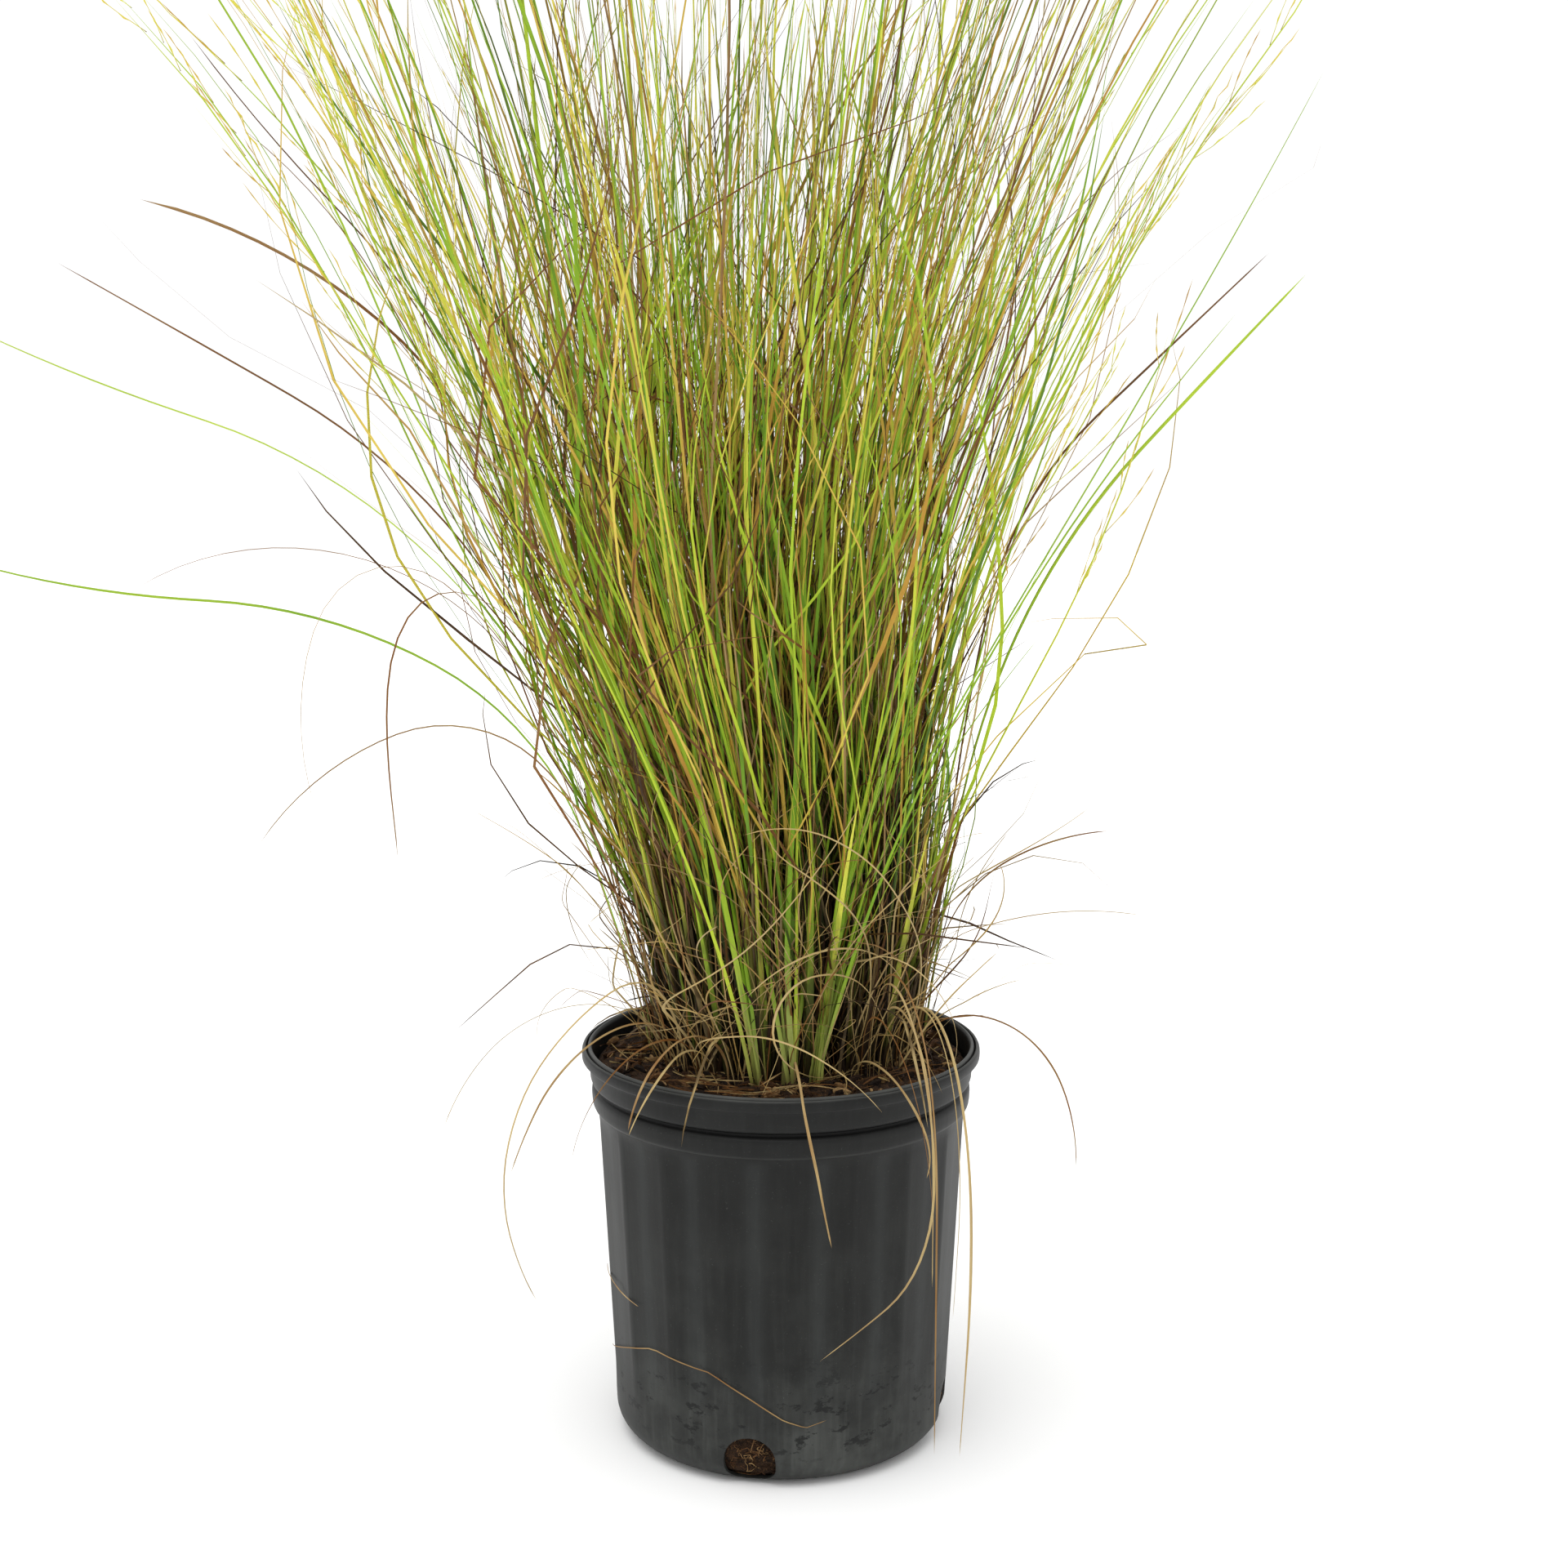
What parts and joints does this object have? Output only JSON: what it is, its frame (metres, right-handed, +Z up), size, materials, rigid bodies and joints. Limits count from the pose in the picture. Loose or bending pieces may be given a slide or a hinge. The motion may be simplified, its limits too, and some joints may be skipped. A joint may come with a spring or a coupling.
{
  "type": "potted muhly grass",
  "caption": "Tall clump of narrow ornamental grass leaves that fans out of a round, fluted black plastic nursery pot with a rolled lip and drain holes.",
  "frame": {"origin": "middle of the pot's flat underside, on the pot's axis", "axes": "+Z up along the pot's axis; -Y is the side that the picture was taken from, so -X is its left"},
  "size_m": [0.8475, 0.7468, 1.0946],
  "materials": {
    "pot_plastic": "matte black polyethylene, dusty towards the foot",
    "potting_mix": "loose dark bark and peat with dry leaf litter",
    "grass": "living and half dry grass leaves, green to straw",
    "fresh_leaf": "living yellow-green grass leaf",
    "dry_leaf": "dead straw-brown grass leaf"
  },
  "bodies": {
    "root": {"pot": "pot_plastic", "soil": "potting_mix", "tuft_centre": "grass", "tuft_inner_1": "grass", "tuft_inner_2": "grass", "tuft_inner_3": "grass", "tuft_inner_4": "grass", "tuft_inner_5": "grass", "tuft_inner_6": "grass", "tuft_middle_1": "grass", "tuft_middle_2": "grass", "tuft_middle_3": "grass", "tuft_middle_4": "grass", "tuft_middle_5": "grass", "tuft_middle_6": "grass", "tuft_middle_7": "grass", "tuft_middle_8": "grass", "tuft_middle_9": "grass", "tuft_middle_10": "grass", "tuft_middle_11": "grass", "tuft_middle_12": "grass", "tuft_outer_1": "grass", "tuft_outer_2": "grass", "tuft_outer_3": "grass", "tuft_outer_4": "grass", "tuft_outer_5": "grass", "tuft_outer_6": "grass", "tuft_outer_7": "grass", "tuft_outer_8": "grass", "tuft_outer_9": "grass", "tuft_outer_10": "grass", "tuft_outer_11": "grass", "tuft_outer_12": "grass", "tuft_outer_13": "grass", "tuft_outer_14": "grass", "tuft_outer_15": "grass", "tuft_outer_16": "grass", "tuft_outer_17": "grass", "tuft_outer_18": "grass", "long_leaf_left_1": "fresh_leaf", "long_leaf_left_2": "fresh_leaf", "long_leaf_left_3": "dry_leaf", "long_leaf_left_4": "dry_leaf", "long_leaf_left_5": "dry_leaf", "hanging_leaf_left_1": "dry_leaf", "hanging_leaf_left_2": "dry_leaf", "hanging_leaf_left_3": "dry_leaf", "long_leaf_right_1": "dry_leaf", "long_leaf_right_2": "fresh_leaf", "low_leaf_right": "dry_leaf", "rim_leaf_front": "dry_leaf", "rim_leaf_right_1": "dry_leaf", "rim_leaf_right_2": "dry_leaf", "rim_leaf_left": "dry_leaf", "rim_leaf_front_left": "dry_leaf", "dry_straw_1": "dry_leaf", "dry_straw_2": "dry_leaf"}
  },
  "joints": []
}
